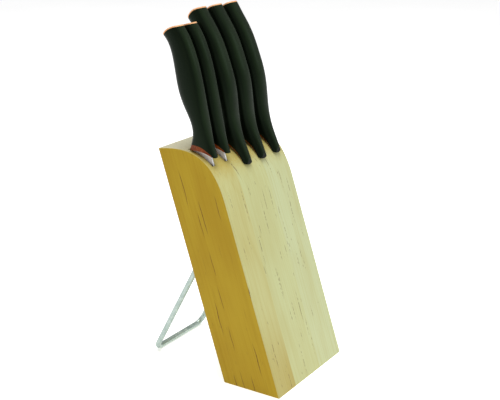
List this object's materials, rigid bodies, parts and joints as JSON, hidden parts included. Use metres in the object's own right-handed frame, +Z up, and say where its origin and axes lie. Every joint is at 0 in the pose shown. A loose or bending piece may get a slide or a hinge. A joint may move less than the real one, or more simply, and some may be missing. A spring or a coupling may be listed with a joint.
{
  "type": "knife block with knives",
  "caption": "Leaning laminated wood knife block on a bent wire stand, with knives whose dark curved handles stand out of its rounded top.",
  "frame": {"origin": "on the standing surface, at the middle of the footprint of block and stand together", "axes": "+Z up; the block's broad front face looks towards -Y and leans back towards +Y, where the wire stand is; +X is to the right when facing the front"},
  "size_m": [0.11, 0.15, 0.3224],
  "materials": {
    "birch": "satin lacquered pale birch with short dark flecks",
    "handle_plastic": "satin, very dark green-black",
    "copper_trim": "semi-gloss copper orange",
    "blade_steel": "satin ground stainless steel",
    "stand_wire": "satin pale silver-grey wire"
  },
  "bodies": {
    "block": {"board_1": "birch", "board_2": "birch", "board_3": "birch", "board_4": "birch", "board_5": "birch", "board_6": "birch", "bread_knife_front_strip": "birch", "bread_knife_rear_strip": "birch", "carving_knife_front_strip": "birch", "carving_knife_rear_strip": "birch", "cooks_knife_front_strip": "birch", "cooks_knife_rear_strip": "birch", "paring_knife_front_strip": "birch", "paring_knife_rear_strip": "birch", "utility_knife_front_strip": "birch", "utility_knife_rear_strip": "birch"},
    "wire_stand": {"wire_stand": "stand_wire"},
    "paring_knife": {"paring_knife_blade": "blade_steel", "paring_knife_butt_cap": "copper_trim", "paring_knife_collar": "copper_trim", "paring_knife_handle": "handle_plastic"},
    "utility_knife": {"utility_knife_blade": "blade_steel", "utility_knife_butt_cap": "copper_trim", "utility_knife_collar": "copper_trim", "utility_knife_handle": "handle_plastic"},
    "cooks_knife": {"cooks_knife_blade": "blade_steel", "cooks_knife_butt_cap": "copper_trim", "cooks_knife_collar": "copper_trim", "cooks_knife_handle": "handle_plastic"},
    "bread_knife": {"bread_knife_blade": "blade_steel", "bread_knife_butt_cap": "copper_trim", "bread_knife_collar": "copper_trim", "bread_knife_handle": "handle_plastic"},
    "carving_knife": {"carving_knife_blade": "blade_steel", "carving_knife_butt_cap": "copper_trim", "carving_knife_collar": "copper_trim", "carving_knife_handle": "handle_plastic"}
  },
  "joints": [
    {"name": "paring_knife_draw", "type": "slide", "parent": "block", "child": "paring_knife", "axis": [0, 0.309, 0.9511], "range_m": [0, 0.11]},
    {"name": "utility_knife_draw", "type": "slide", "parent": "block", "child": "utility_knife", "axis": [0, 0.309, 0.9511], "range_m": [0, 0.14]},
    {"name": "cooks_knife_draw", "type": "slide", "parent": "block", "child": "cooks_knife", "axis": [0, 0.309, 0.9511], "range_m": [0, 0.215]},
    {"name": "bread_knife_draw", "type": "slide", "parent": "block", "child": "bread_knife", "axis": [0, 0.309, 0.9511], "range_m": [0, 0.215]},
    {"name": "carving_knife_draw", "type": "slide", "parent": "block", "child": "carving_knife", "axis": [0, 0.309, 0.9511], "range_m": [0, 0.21]},
    {"name": "stand_plug", "type": "slide", "parent": "block", "child": "wire_stand", "axis": [0, 1, 0], "range_m": [0, 0.03]}
  ]
}
